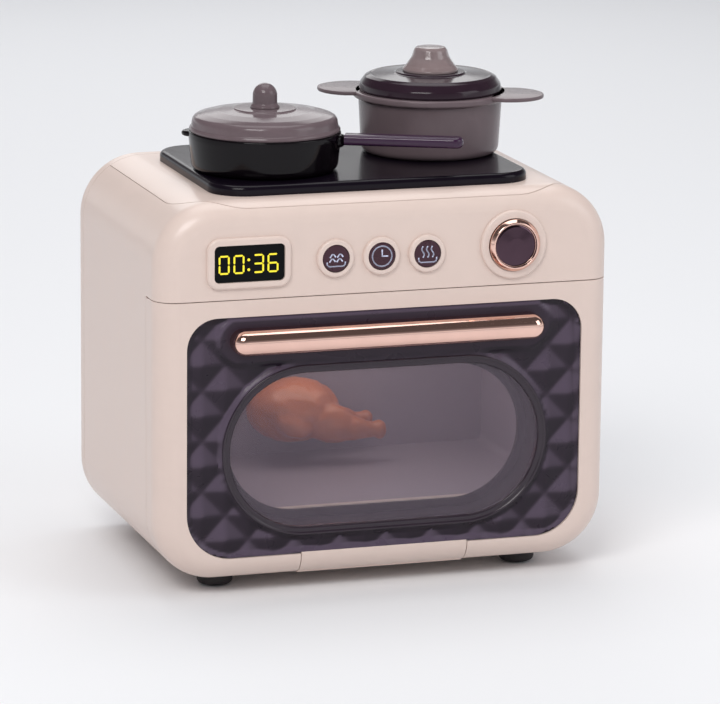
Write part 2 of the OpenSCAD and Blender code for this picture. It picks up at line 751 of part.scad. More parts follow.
module rear_screws() color(steel) placed()
    for (x = [-1, 1] * long_boss_x, z = long_boss_z)
        at_xz(x, z) translate([0, body_d - 4 + head_t, 0]) rotate([0, 0, 180]) screw(14);

// ---------- Door ----------

// The door's share of the rounded body, with a round heel below. The arc of its swing clears
// the control panel's lower edge.
module door_block() intersection() {
    body_outside();
    hinge_rod(split_z - hinge_z - 0.2, far);
    union() {
        block(-far, far, -1, door_d, hinge_z, split_z - seam);
        block(-far, far, -1, hinge_in, 0, hinge_z + 1);
        hinge_rod(heel_r, far);
    }
}

module hinge_notch() intersection() {
    hinge_rod(sweep_r, 2 * door_x);
    block(-far, far, -far, far, 0, far);
}

module door_glass_outline(grow) translate([0, glass_z0 - grow])
    plate_outline(glass_w + 2 * grow, glass_z1 - glass_z0 + 2 * grow, glass_top_r + grow,
        glass_low_r + grow);

module door_frame() color(cream) placed() difference() {
    union() {
        difference() {
            door_block();
            intersection() {
                body_inside();
                block(-far, far, 0, far, glass_z0 - 0.2, split_z - seam - wall);
            }
            slab(-1, wall + 1) door_glass_outline(0.15);
        }
        for (x = [-1, 1] * door_boss_x, z = door_boss_z)
            at_xz(x, z) rod(2.9, wall - eps, door_d - 1.7);
    }
    for (x = [-1, 1] * door_boss_x, z = door_boss_z)
        at_xz(x, z) rod(screw_r + 0.05, wall + 1, far);
    hinge_notch();
    block(-door_x, door_x, -1, far, 0, glass_z0 + 0.2);
    hinge_rod(pin_d / 2 + 0.06, knuckle_w + 2 * pin_reach + 1, small_fn);
}

module door_glass() color(smoke) placed() difference() {
    union() {
        slab(glass_in, wall + 0.2) door_glass_outline(0);
        slab(wall + 0.1, glass_in + glass_t) door_glass_outline(1.4);
    }
    at_xz(0, window_z) slab(-far, far) stadium(window_w + 2.6, window_h + 2.6);
    hinge_notch();
    block(-far, far, -1, far, 0, glass_z0 - 0.15);
    for (x = [-1, 1] * handle_screw_x) at_xz(x, handle_z) rod(screw_r + slack, 0, far);
}

module window_ring() color(smoke) placed() at_xz(0, window_z) difference() {
    union() {
        slab(glass_in - ring_out, glass_in) stadium(window_w + 2 * ring_w, window_h + 2 * ring_w);
        slab(glass_in - eps, glass_in + glass_t) stadium(window_w + 2.4, window_h + 2.4);
    }
    slab(-far, 2.2) stadium(window_w, window_h);
    slab(0, far) stadium(window_w - 1.6, window_h - 1.6);
}

module window_pane() color([0.5, 0.45, 0.5, 0.35]) placed() at_xz(0, window_z)
    slab(0.7, 2.2) stadium(window_w - 0.2, window_h - 0.2);

module door_liner() color(smoke) placed() difference() {
    union() {
        intersection() {
            body_inside(0.25);
            block(-far, far, door_d - 1.6, door_d, glass_z0, split_z - seam - wall - 0.25);
        }
        at_xz(0, window_z) slab(glass_in + glass_t, door_d) stadium(window_w + 3.2, window_h + 3.2);
    }
    at_xz(0, window_z) slab(0, door_d - 1.6) stadium(window_w, window_h);
    at_xz(0, window_z) slab(0, far) stadium(window_w - 2 * tunnel_lip, window_h - 2 * tunnel_lip);
    for (x = [-1, 1] * door_boss_x, z = door_boss_z) at_xz(x, z) {
        rod(screw_r + slack, 0, far);
        rod(head_r + slack, door_d - 0.8, far);
    }
}

module door_screws() color(steel) placed()
    for (x = [-1, 1] * door_boss_x, z = door_boss_z) at_xz(x, z) {
        rod(head_r, door_d - 0.8, door_d - 0.1);
        rod(screw_r, door_d - 9, door_d - 0.5);
    }

module door_handle() color(rose) placed() at_xz(0, handle_z) difference() {
    translate([0, -handle_out, 0]) pill(handle_w, handle_h, handle_out + glass_in, 3.4);
    for (x = [-1, 1] * handle_screw_x) translate([x, 0, 0]) rod(screw_r + 0.05, -5, far);
}

module handle_screws() color(steel) placed()
    for (x = [-1, 1] * handle_screw_x) at_xz(x, handle_z)
        translate([0, glass_in + glass_t + head_t, 0]) rotate([0, 0, 180]) screw(8.5);

// Tongue on the door's back that enters the catch spring
module door_catch() color(smoke) placed() {
    block(-4, 4, door_d, bulk_y + 4, catch_z - 2, catch_z + 2);
}

module hinge_pin() color(steel) placed() hinge_rod(pin_d / 2, knuckle_w + 2 * pin_reach, small_fn);

// ---------- Pan ----------

module pan_place() placed() translate([pan_x, pan_y, 0]) children();

// Round vessel: outside with a rounded foot, less its inside
module vessel(r, h, t, foot) difference() {
    rotate([-90, 0, 0]) translate([0, -h, 0]) rounded_disc(r, h, 0, foot);
    translate([0, 0, t]) rotate([-90, 0, 0]) translate([0, -h, 0]) rounded_disc(r - t, h, 0, foot - 0.8);
}

module pan_body() color(black) pan_place() translate([0, 0, hob_z]) union() {
    vessel(pan_d / 2, pan_h, pot_t, 3);
    rotate([0, 0, pan_angle]) translate([pan_d / 2 - 1, -pan_handle_w / 2 - 1, pan_h - 6])
        cube([3, pan_handle_w + 2, 5.4]);
    rotate([0, 0, 180 + pan_angle]) translate([pan_d / 2 - 1, -5, pan_h - 3]) cube([4, 10, 2.4]);
}

module pan_handle() color(plum) pan_place() translate([0, 0, pan_rim_z - 0.4 - pan_handle_h / 2])
    rotate([0, 0, pan_angle]) translate([pan_d / 2 + 2, 0, 0]) {
        l = pan_handle_l - pan_handle_w / 2;
        translate([0, -pan_handle_w / 2, -pan_handle_h / 2]) cube([l, pan_handle_w, pan_handle_h]);
        translate([l, 0, -pan_handle_h / 2]) cylinder(d = pan_handle_w, h = pan_handle_h);
    }

module pan_rivets() color(steel) pan_place()
    translate([0, 0, pan_rim_z - 3.4]) rotate([0, 0, pan_angle])
        for (s = [-1, 1]) translate([pan_d / 2 - pot_t - 0.8, 2.2 * s, 0]) rotate([0, 90, 0])
            cylinder(r = 1.2, h = 0.5, $fn = small_fn);

// Lid turned from a flat rim, a steep side with a round shoulder, a low dome and a round step;
// its ring drops into the vessel
module lid(r, h, rim_t, step_r, fit_r, shoulder_r, rise) difference() {
    side = r - 0.8 - shoulder_r;
    rotate_extrude() {
        square([r, rim_t]);
        square([side + shoulder_r, h - rise - shoulder_r]);
        translate([side, h - rise - shoulder_r]) intersection() {
            circle(shoulder_r);
            square(shoulder_r);
        }
        intersection() {
            square([side, h]);
            translate([0, h - dome_r(side, rise)]) circle(dome_r(side, rise), $fn = 128);
        }
        square([step_r, h + 0.6]);
        translate([0, -1.8]) square([fit_r, 1.9]);
    }
    translate([0, 0, -2]) cylinder(r = fit_r - 1.4, h = 1.99);
}

// Radius of the arc that rises h over a half width r
function dome_r(r, h) = (r * r + h * h) / (2 * h);

module pan_lid() color(taupe) pan_place() translate([0, 0, pan_rim_z])
    lid(pan_d / 2 - 0.2, pan_lid_h, 1.4, 12.2, pan_d / 2 - pot_t - 0.4, 4.6, 1.8);

module pan_lid_knob() color(taupe) pan_place() translate([0, 0, pan_rim_z + pan_lid_h + 0.6]) {
    r = 4.8;
    cylinder(r = r, h = pan_knob_h - r);
    translate([0, 0, pan_knob_h - r]) intersection() {
        sphere(r);
        translate([-r, -r, 0]) cube(2 * r);
    }
    cylinder(r = r + 1, h = 1);
}

// ---------- Pot ----------

module pot_place() placed() translate([pot_x, pot_y, 0]) children();

module pot_body() color(taupe) pot_place() translate([0, 0, hob_z]) {
    vessel(pot_d / 2, pot_h, pot_t, 3.4);
    difference() {
        union() {
            translate([0, 0, pot_h - pot_rim_h]) cylinder(r = pot_d / 2 + pot_rim, h = pot_rim_h);
            for (a = [0, 180]) rotate([0, 0, ear_angle + a])
                translate([ear_reach - ear_w / 2, 0, pot_h - ear_t]) cylinder(d = ear_w, h = ear_t);
        }
        translate([0, 0, pot_h - 5]) cylinder(r = pot_d / 2 - 0.5, h = 9);
    }
}

module pot_lid() color(plum) pot_place() translate([0, 0, pot_rim_z]) {
    r = pot_d / 2 - 0.2;
    rotate_extrude() {
        square([r, 1.4]);
        intersection() {
            square([r, pot_lid_h - 1]);
            translate([r - 9, -1]) circle(9, $fn = 96);
        }
        square([r - 6, pot_lid_h - 1]);
        square([14, pot_lid_h]);
    }
    difference() {
        translate([0, 0, -1.8]) cylinder(r = pot_d / 2 - pot_t - 0.4, h = 1.9);
        translate([0, 0, -2]) cylinder(r = pot_d / 2 - pot_t - 1.8, h = 2);
    }
}

module pot_lid_knob() color([0.55, 0.50, 0.50, 0.8]) pot_place()
    translate([0, 0, pot_rim_z + pot_lid_h]) rotate_extrude()
        polygon([[0, 0], [11, 0], [11, 1.2], [6.6, pot_knob_h - 1.2], [5.6, pot_knob_h], [0, pot_knob_h]]);

main_housing();
top_cover();
rear_cover();
oven_cavity();
cavity_screws();
hob_plate();
hob_screws();
hinge_pin();
catch_spring();
display_screen();
circuit_board();
board_parts();
board_screws();
knob_encoder();
oven_lamp();
lamp_lens();
toy_roast();
roast_screw();
speaker();
speaker_clamp();
battery_box();
battery_contacts();
battery_cells();
switch_case();
rear_screws();
foot(-foot_x, foot_ys[0]);  // foot_front_left
foot(foot_x, foot_ys[0]);  // foot_front_right
foot(-foot_x, foot_ys[1]);  // foot_rear_left
foot(foot_x, foot_ys[1]);  // foot_rear_right
door_frame();
door_glass();
window_ring();
window_pane();
door_liner();
door_screws();
door_handle();
handle_screws();
door_catch();
knob_cap();
knob_shaft();
button(0);  // button_bake
button(1);  // button_timer
button(2);  // button_steam
button_spring(0);  // spring_bake
button_spring(1);  // spring_timer
button_spring(2);  // spring_steam
battery_door();
battery_door_screw();
switch_slider();
pan_body();
pan_handle();
pan_rivets();
pan_lid();
pan_lid_knob();
pot_body();
pot_lid();
pot_lid_knob();
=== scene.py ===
import bpy
import bmesh
import math
from mathutils import Matrix, Vector, noise


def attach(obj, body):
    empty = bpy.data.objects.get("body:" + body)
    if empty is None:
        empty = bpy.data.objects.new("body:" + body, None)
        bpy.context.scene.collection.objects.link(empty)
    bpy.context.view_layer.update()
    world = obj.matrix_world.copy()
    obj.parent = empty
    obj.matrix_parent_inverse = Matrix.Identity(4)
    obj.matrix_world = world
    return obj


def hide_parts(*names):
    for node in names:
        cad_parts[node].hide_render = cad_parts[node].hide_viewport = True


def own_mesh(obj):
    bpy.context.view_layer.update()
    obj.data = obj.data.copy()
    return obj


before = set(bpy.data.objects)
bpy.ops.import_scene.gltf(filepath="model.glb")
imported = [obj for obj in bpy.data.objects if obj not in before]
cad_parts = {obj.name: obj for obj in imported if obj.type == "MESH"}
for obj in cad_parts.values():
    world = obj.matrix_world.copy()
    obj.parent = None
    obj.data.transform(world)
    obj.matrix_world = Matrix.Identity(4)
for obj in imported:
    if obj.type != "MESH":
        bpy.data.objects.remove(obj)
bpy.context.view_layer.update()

# Sizes in millimetres; y counts back from the housing's front face, as in the part's source
FRONT = -56.0
HANDLE = dict(w=125.0, h=10.0, z=99.7, out=8.0)
RING = dict(w=130.8, h=66.8, z=55.7)
GLASS = dict(w=158.5, z0=15.0, z1=109.0, top_r=12.0, low_r=18.0, y=0.4, back=3.3)
KNUCKLE = dict(x=33.9, front=15.4, back=17.5)
KNOB = dict(x=50.6, z=131.6, r=10.1)
PAN = dict(x=-35.0, y=47.0, r=29.5, z=157.0, h=15.0, turn=math.radians(-25))
POT = dict(x=39.2, y=67.4, r=28.3, z=157.0, h=24.4, turn=math.radians(-30))
PAN_RIM = PAN["z"] + PAN["h"]
POT_RIM = POT["z"] + POT["h"]
CONTROL_Z = 130.0
BUTTONS = dict(bake=-21.1, timer=-2.8, steam=15.5)


def mm(x, y, z):
    """A point of the part, given in mm, in the frame's metres."""
    return Vector((x / 1000, (y + FRONT) / 1000, z / 1000))


# ---------- Materials ----------

def srgb(r, g, b):
    """Colour as seen on a screen, 0 to 255, in the shaders' linear values."""
    def lin(c):
        c /= 255
        return c / 12.92 if c <= 0.04045 else ((c + 0.055) / 1.055) ** 2.4
    return (lin(r), lin(g), lin(b), 1.0)


def nodes_of(name):
    """New material with its node tree and its main shader."""
    m = bpy.data.materials.new(name)
    m.use_nodes = True
    t = m.node_tree
    return m, t, t.nodes["Principled BSDF"]


def shade(c, k):
    """A colour made k times as light."""
    return (min(c[0] * k, 1), min(c[1] * k, 1), min(c[2] * k, 1), 1)


def moulded(name, colour, rough, vary=0.05, grain=0.04, scale=2600, coat=0.0, metal=0.0, spec=0.5,
            swirl=90, alpha=1.0):
    """Moulded or plated surface: slight flow marks in its colour, uneven gloss and a fine grain."""
    m, t, b = nodes_of(name)
    link = t.links.new
    pos = t.nodes.new("ShaderNodeTexCoord")
    flow = t.nodes.new("ShaderNodeTexNoise")
    flow.inputs["Scale"].default_value = swirl
    flow.inputs["Detail"].default_value = 3
    flow.inputs["Distortion"].default_value = 0.8
    link(pos.outputs["Object"], flow.inputs["Vector"])
    ramp = t.nodes.new("ShaderNodeValToRGB")
    ramp.color_ramp.elements[0].position = 0.3
    ramp.color_ramp.elements[1].position = 0.7
    ramp.color_ramp.elements[0].color = shade(colour, 1 - vary)
    ramp.color_ramp.elements[1].color = shade(colour, 1 + vary)
    link(flow.outputs["Fac"], ramp.inputs["Fac"])
    link(ramp.outputs["Color"], b.inputs["Base Color"])
    gloss = t.nodes.new("ShaderNodeMapRange")
    gloss.inputs["To Min"].default_value = rough * 0.8
    gloss.inputs["To Max"].default_value = min(rough * 1.25, 1)
    link(flow.outputs["Fac"], gloss.inputs["Value"])
    link(gloss.outputs["Result"], b.inputs["Roughness"])
    fine = t.nodes.new("ShaderNodeTexNoise")
    fine.inputs["Scale"].default_value = scale
    fine.inputs["Detail"].default_value = 2
    link(pos.outputs["Object"], fine.inputs["Vector"])
    bump = t.nodes.new("ShaderNodeBump")
    bump.inputs["Strength"].default_value = grain
    bump.inputs["Distance"].default_value = 0.0002
    link(fine.outputs["Fac"], bump.inputs["Height"])
    link(bump.outputs["Normal"], b.inputs["Normal"])
    b.inputs["Metallic"].default_value = metal
    b.inputs["Specular IOR Level"].default_value = spec
    b.inputs["Coat Weight"].default_value = coat
    b.inputs["Coat Roughness"].default_value = 0.06
    b.inputs["Alpha"].default_value = alpha
    return m


CREAM = moulded("cream", srgb(220, 200, 190), 0.34, vary=0.012, grain=0.03, coat=0.15)
MAUVE = moulded("cavity_mauve", srgb(160, 148, 160), 0.42, vary=0.03, grain=0.015)
# Left white here; its colour is the painted shade of the studs' faces, multiplied in below
SMOKE = moulded("smoke_panel", (1, 1, 1, 1), 0.28, vary=0.06, grain=0.012, spec=0.25)
RING_MAT = moulded("smoke_ring", srgb(44, 34, 44), 0.24, vary=0.05, grain=0.015, spec=0.4, coat=0.1)
LINER = moulded("liner", srgb(40, 31, 38), 0.34, vary=0.05, grain=0.03, spec=0.3)
ROSE = moulded("rose_chrome", srgb(240, 200, 186), 0.09, vary=0.03, grain=0.006, metal=1.0)
# The knob's face: chrome darkened to paint in the dark reflection in its middle
KNOB_PAINTED_REFLECTION = moulded("knob_chrome_painted_dark_reflection", srgb(80, 62, 72), 0.14, vary=0.06, grain=0.006, metal=1.0)
HOB = moulded("hob_black", srgb(18, 12, 22), 0.16, vary=0.12, grain=0.01, spec=0.18)
DISPLAY = moulded("display_black", srgb(8, 10, 13), 0.1, vary=0.1, grain=0.004, spec=0.1)
MAROON = moulded("button_maroon", srgb(60, 30, 42), 0.28, vary=0.06, grain=0.02, spec=0.35)
PRINT = moulded("pale_print", srgb(212, 218, 244), 0.5, vary=0.03, grain=0.03)
PAN_MAT = moulded("pan_black", srgb(12, 8, 12), 0.11, vary=0.12, grain=0.01, spec=0.2)
PLUM = moulded("handle_plum", srgb(54, 30, 56), 0.14, vary=0.08, grain=0.01, spec=0.4)
TAUPE = moulded("lid_taupe", srgb(104, 90, 94), 0.16, vary=0.05, grain=0.012, spec=0.3)
POT_MAT = moulded("pot_taupe", srgb(106, 92, 96), 0.24, vary=0.05, grain=0.015, spec=0.25)
LID_PLUM = moulded("pot_lid_plum", srgb(44, 30, 40), 0.13, vary=0.1, grain=0.01, spec=0.28)
STEEL = moulded("screw_steel", srgb(176, 176, 180), 0.32, vary=0.08, grain=0.06, metal=1.0)
BLACK = moulded("matte_black", srgb(34, 33, 36), 0.5, vary=0.1, grain=0.12)
RUBBER = moulded("foot_rubber", srgb(44, 40, 42), 0.72, vary=0.12, grain=0.35, scale=1800)
BOARD = moulded("board_green", srgb(32, 104, 62), 0.4, vary=0.15, grain=0.1, swirl=400)
CELL = moulded("cell_sleeve", srgb(84, 92, 104), 0.3, vary=0.05, grain=0.02, metal=0.4)
ROAST = moulded("roast_skin", srgb(206, 116, 66), 0.36, vary=0.14, grain=0.06, scale=900, swirl=60, coat=0.3)
LAMP = moulded("lamp_warm", srgb(255, 236, 190), 0.4, vary=0.03, grain=0.03)
PANE = moulded("smoky_pane", srgb(128, 116, 130), 0.06, vary=0.04, grain=0.003, alpha=0.2)
LENS = moulded("lamp_lens_clear", srgb(244, 238, 224), 0.12, vary=0.02, grain=0.02, alpha=0.45)
KNOB_CLEAR = moulded("pot_knob_smoky", srgb(140, 122, 122), 0.14, vary=0.08, grain=0.01, coat=0.5,
                     alpha=0.82)

# Painted shade on the studs' faces: tones from those that look down, darkest, to those that look up,
# lightest; the share that a lean to the side has in this, and the tilt at which the last tones are reached
FACET_PAINTED_SHADE_TONES = [(32, 23, 34), (38, 29, 40), (50, 40, 52), (76, 65, 79), (86, 74, 90)]
FACET_SHADE_SIDEWAYS = -0.35
FACET_SHADE_SPAN = 0.26


def paint_facet_shade(m, shade_tones):
    """Painted shade on the studs: faces that look down are darker and those that look up lighter, by their
    tilt on the piece.
    """
    t = m.node_tree
    b = t.nodes["Principled BSDF"]
    flow = b.inputs["Base Color"].links[0].from_socket
    pos = t.nodes.new("ShaderNodeTexCoord")
    split = t.nodes.new("ShaderNodeSeparateXYZ")
    t.links.new(pos.outputs["Normal"], split.inputs[0])
    tilt = t.nodes.new("ShaderNodeMath")
    tilt.operation = "MULTIPLY_ADD"
    tilt.inputs[1].default_value = FACET_SHADE_SIDEWAYS
    t.links.new(split.outputs["X"], tilt.inputs[0])
    t.links.new(split.outputs["Z"], tilt.inputs[2])
    span = t.nodes.new("ShaderNodeMapRange")
    span.inputs["From Min"].default_value = -FACET_SHADE_SPAN
    span.inputs["From Max"].default_value = FACET_SHADE_SPAN
    t.links.new(tilt.outputs[0], span.inputs["Value"])
    ramp = t.nodes.new("ShaderNodeValToRGB")
    ends = ramp.color_ramp.elements
    ends[0].color, ends[1].color = srgb(*shade_tones[0]), srgb(*shade_tones[-1])
    for k in range(1, len(shade_tones) - 1):
        ends.new(k / (len(shade_tones) - 1)).color = srgb(*shade_tones[k])
    t.links.new(span.outputs["Result"], ramp.inputs["Fac"])
    mix = t.nodes.new("ShaderNodeMix")
    mix.data_type = "RGBA"
    mix.blend_type = "MULTIPLY"
    mix.inputs[0].default_value = 1
    t.links.new(flow, mix.inputs[6])
    t.links.new(ramp.outputs["Color"], mix.inputs[7])
    t.links.new(mix.outputs[2], b.inputs["Base Color"])


def glowing_digits():
    """Yellow that glows by itself, a little unevenly."""
    m, t, b = nodes_of("digit_yellow")
    b.inputs["Base Color"].default_value = srgb(232, 214, 40)
    b.inputs["Roughness"].default_value = 0.4
    pulse = t.nodes.new("ShaderNodeTexNoise")
    pulse.inputs["Scale"].default_value = 700
    ramp = t.nodes.new("ShaderNodeValToRGB")
    ramp.color_ramp.elements[0].color = srgb(214, 190, 24)
    ramp.color_ramp.elements[1].color = srgb(255, 238, 70)
    t.links.new(pulse.outputs["Fac"], ramp.inputs["Fac"])
    t.links.new(ramp.outputs["Color"], b.inputs["Emission Color"])
    b.inputs["Emission Strength"].default_value = 0.45
    return m


# Painted shade and light on the smoky panel's studs, by each face's tilt
paint_facet_shade(SMOKE, FACET_PAINTED_SHADE_TONES)
DIGIT = glowing_digits()

by_node = {
    CREAM: ["main_housing", "top_cover", "rear_cover", "speaker_clamp", "battery_door", "door_frame"],
    MAUVE: ["oven_cavity"],
    SMOKE: ["battery_box"],
    LINER: ["door_liner", "door_catch"],
    PANE: ["window_pane"],
    HOB: ["hob_plate"],
    DISPLAY: ["display_screen"],
    MAROON: ["button_bake", "button_timer", "button_steam"],
    STEEL: ["cavity_screws", "hob_screws", "hinge_pin", "catch_spring", "board_screws", "roast_screw",
            "rear_screws", "door_screws", "handle_screws", "knob_shaft", "pan_rivets",
            "battery_contacts", "battery_door_screw", "switch_case", "spring_bake", "spring_timer",
            "spring_steam"],
    BOARD: ["circuit_board"],
    BLACK: ["board_parts", "knob_encoder", "speaker", "switch_slider"],
    LENS: ["lamp_lens"],
    LAMP: ["oven_lamp"],
    CELL: ["battery_cells"],
    RUBBER: ["foot_front_left", "foot_front_right", "foot_rear_left", "foot_rear_right"],
}
for mat, names in by_node.items():
    for n in names:
        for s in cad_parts[n].material_slots:
            s.material = mat


# ---------- Mesh helpers ----------

FILLET_STEPS = 7


def make(name, bm, mat, body, replaces=(), sharp=38):
    """Turns a bmesh in metres into a smooth-shaded piece with creases at its sharp edges."""
    bmesh.ops.remove_doubles(bm, verts=bm.verts, dist=1e-7)
    bmesh.ops.recalc_face_normals(bm, faces=bm.faces)
    for f in bm.faces:
        f.smooth = True
    for e in bm.edges:
        if len(e.link_faces) == 2 and e.calc_face_angle(0) > math.radians(sharp):
            e.smooth = False
    me = bpy.data.meshes.new(name)
    bm.to_mesh(me)
    bm.free()
    me.materials.append(mat)
    o = bpy.data.objects.new(name, me)
    bpy.context.collection.objects.link(o)
    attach(o, body)
    if replaces:
        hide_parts(*replaces)
    return o


def rounded(pts):
    """Profile through (r, h, fillet) corners in mm, each eased by its own fillet."""
    out = []
    for i, (x, y, rad) in enumerate(pts):
        if rad <= 0 or i in (0, len(pts) - 1):
            out.append((x, y))
            continue
        p = Vector((x, y))
        a = Vector(pts[i - 1][:2]) - p
        b = Vector(pts[i + 1][:2]) - p
        # Less than half of each side, so that neighbouring fillets don't meet
        d = min(rad / math.tan(a.angle(b) / 2), a.length * 0.49, b.length * 0.49)
        p0, p1 = p + a.normalized() * d, p + b.normalized() * d
        for k in range(FILLET_STEPS + 1):
            t = k / FILLET_STEPS
            out.append(tuple((1 - t) ** 2 * p0 + 2 * t * (1 - t) * p + t * t * p1))
    return out


def lathe(prof, place, seg=96):
    """Surface of revolution about the local z of a 4x4 placed in metres; profile in mm."""
    bm = bmesh.new()
    circle = [(math.cos(2 * math.pi * k / seg), math.sin(2 * math.pi * k / seg)) for k in range(seg)]
    rings = []
    for r, h in prof:
        around = [(0, 0)] if r < 1e-4 else circle
        rings.append([bm.verts.new(place @ Vector((r / 1000 * c, r / 1000 * s, h / 1000)))
                      for c, s in around])
    for a, b in zip(rings, rings[1:]):
        for k in range(seg):
            q = [a[k % len(a)], a[(k + 1) % len(a)], b[(k + 1) % len(b)], b[k % len(b)]]
            q = list(dict.fromkeys(q))
            if len(q) > 2:
                bm.faces.new(q)
    return bm


def loft(rings, close_ends=True):
    """Closed rings of equal length, joined by quads."""
    bm = bmesh.new()
    vs = [[bm.verts.new(p) for p in ring] for ring in rings]
    n = len(vs[0])
    for a, b in zip(vs, vs[1:]):
        for k in range(n):
            bm.faces.new((a[k], a[(k + 1) % n], b[(k + 1) % n], b[k]))
    if close_ends:
        bm.faces.new(list(reversed(vs[0])))
        bm.faces.new(vs[-1])
    return bm


def stadium_ring(size, inset, y, n=20):
    """Outline at depth y of a lying stadium, given as a dict with w, h and z, drawn in by inset."""
    w, h, cz = size["w"], size["h"], size["z"]
    r = h / 2 - inset
    pts = []
    for side, start in ((1, -math.pi / 2), (-1, math.pi / 2)):
        for k in range(n + 1):
            a = start + math.pi * k / n
            pts.append(mm(side * (w - h) / 2 + r * math.cos(a), y, cz + r * math.sin(a)))
    return pts


def upright(x, y, z):
    """Place with its local z straight up."""
    return Matrix.Translation(mm(x, y, z))


def facing(x, y, z):
    """Place with its local z out of the front."""
    return Matrix.Translation(mm(x, y, z)) @ Matrix.Rotation(math.radians(90), 4, "X")


def join(bm, other):
    """Adds the second bmesh to the first and frees it."""
    me = bpy.data.meshes.new("tmp")
    other.to_mesh(me)
    other.free()
    bm.from_mesh(me)
    bpy.data.meshes.remove(me)


# ---------- Quilted door panel ----------

# The studs' width and height and the place of one valley crossing, fitted to the photograph's corners
CELL_W, CELL_H = 18.55, 19.7
QUILT_X, QUILT_Z = 1.17, 61.2
# Depths: the valleys, how far the studs rise from them, the flat parts, and the roll of the outer edge
VALLEY, STUD_H, FLAT, ROLL = 2.0, 1.6, 0.42, 0.5
RIDGE_SOFT = 0.06
# The grid that the panel is made of, and how much smaller its hole is than the ring over it
GRID = 0.9
RING_COVERS = 4.0


def sd_plate(x, z):
    """Distance inside the dark panel's outline, in mm (positive inside)."""
    g = GLASS
    cz = (g["z0"] + g["z1"]) / 2
    r = g["top_r"] if z > cz else g["low_r"]
    qx = abs(x) - g["w"] / 2 + r
    qz = abs(z - cz) - (g["z1"] - g["z0"]) / 2 + r
    return r - math.hypot(max(qx, 0), max(qz, 0)) - min(max(qx, qz), 0)


def sd_notch(x, z):
    """Distance outside the notch over the housing's knuckle, in mm."""
    return max(abs(x) - KNUCKLE["x"], z - KNUCKLE["front"])


def sd_stadium(x, z, size, less=0.0):
    """Distance outside a stadium, in mm, its width and height taken less by a given amount."""
    w, h = size["w"] - less, size["h"] - less
    return math.hypot(max(abs(x) - (w - h) / 2, 0), z - size["z"]) - h / 2


def smooth(a, b, v):
    """0 below a, 1 above b, eased between."""
    t = min(max((v - a) / (b - a), 0), 1)
    return t * t * (3 - 2 * t)


def to_line(v):
    """Distance from v to the nearest whole number."""
    f = v - math.floor(v)
    return min(f, 1 - f)


def quilt(x, z):
    """Depth of the panel's face at x, z: four-sided studs, flat along the rim, the handle and the ring."""
    da = to_line((x - QUILT_X) / CELL_W + (z - QUILT_Z) / CELL_H)
    db = to_line((x - QUILT_X) / CELL_W - (z - QUILT_Z) / CELL_H)
    rise = max((da + db - math.sqrt((da - db) ** 2 + RIDGE_SOFT * RIDGE_SOFT)) / 2, 0) * 2
    stud = VALLEY - STUD_H * rise
    # The pattern fades in beyond a few millimetres from the handle, the panel's edges and the ring
    pad = smooth(4.2, 5.2, sd_stadium(x, z, HANDLE)) * smooth(0.3, 1.5, min(sd_plate(x, z), sd_notch(x, z)))
    collar = smooth(0.6, 1.4, sd_stadium(x, z, RING))
    rim = smooth(0.0, 0.7, sd_plate(x, z))
    return FLAT + (stud - FLAT) * pad * collar + (1 - rim) * ROLL


def quilted_panel():
    """Fine grid cut to the panel's outline and the window's hole, with plain sides and a flat back."""
    def inside(x, z):
        return min(sd_plate(x, z), sd_stadium(x, z, RING, RING_COVERS), sd_notch(x, z))

    def onto_edge(x, z):
        """Moves a point onto the outline, in three steps along the slope of its distance."""
        e = 0.01
        for _ in range(3):
            gx = (inside(x + e, z) - inside(x - e, z)) / (2 * e)
            gz = (inside(x, z + e) - inside(x, z - e)) / (2 * e)
            g = max(gx * gx + gz * gz, 0.2)
            d = inside(x, z)
            x, z = x - d * gx / g, z - d * gz / g
        return x, z

    nx = int(GLASS["w"] / GRID) + 4
    nz = int((GLASS["z1"] - GLASS["z0"]) / GRID) + 4
    x0, z0 = -nx * GRID / 2, (GLASS["z0"] + GLASS["z1"]) / 2 - nz * GRID / 2
    places, pulled = {}, {}
    for i in range(nx + 1):
        for j in range(nz + 1):
            x, z = x0 + i * GRID, z0 + j * GRID
            d = inside(x, z)
            # Points up to about a cell outside are pulled onto the edge, and the rest are left out
            if d >= -GRID * 1.1:
                pulled[i, j] = d < GRID * 0.5
                places[i, j] = onto_edge(x, z) if pulled[i, j] else (x, z)
    bm = bmesh.new()
    vs = {k: bm.verts.new(mm(x, quilt(x, z), z)) for k, (x, z) in places.items()}
    for i in range(nx):
        for j in range(nz):
            q = [(i, j), (i + 1, j), (i + 1, j + 1), (i, j + 1)]
            if not all(k in vs for k in q) or all(pulled[k] for k in q):
                continue
            if inside(sum(places[k][0] for k in q) / 4, sum(places[k][1] for k in q) / 4) >= 0.02:
                bm.faces.new([vs[k] for k in q])
    bmesh.ops.delete(bm, geom=[v for v in bm.verts if not v.link_faces], context="VERTS")
    bmesh.ops.remove_doubles(bm, verts=bm.verts, dist=1e-5)
    edge = [e for e in bm.edges if len(e.link_faces) == 1]
    got = bmesh.ops.extrude_edge_only(bm, edges=edge)["geom"]
    back_y = mm(0, GLASS["back"], 0).y
    for v in [g for g in got if isinstance(g, bmesh.types.BMVert)]:
        v.co.y = back_y
        if abs(v.co.x) < KNUCKLE["x"] / 1000 + 0.0001:
            v.co.z = max(v.co.z, KNUCKLE["back"] / 1000)
    rim = [g for g in got if isinstance(g, bmesh.types.BMEdge)
           and all(v.co.y > back_y - 0.0001 for v in g.verts)]
    bmesh.ops.triangle_fill(bm, edges=rim, use_beauty=True, normal=(0, 1, 0))
    return make("quilted_panel", bm, SMOKE, "door", ("door_glass",), sharp=60)


panel = quilted_panel()

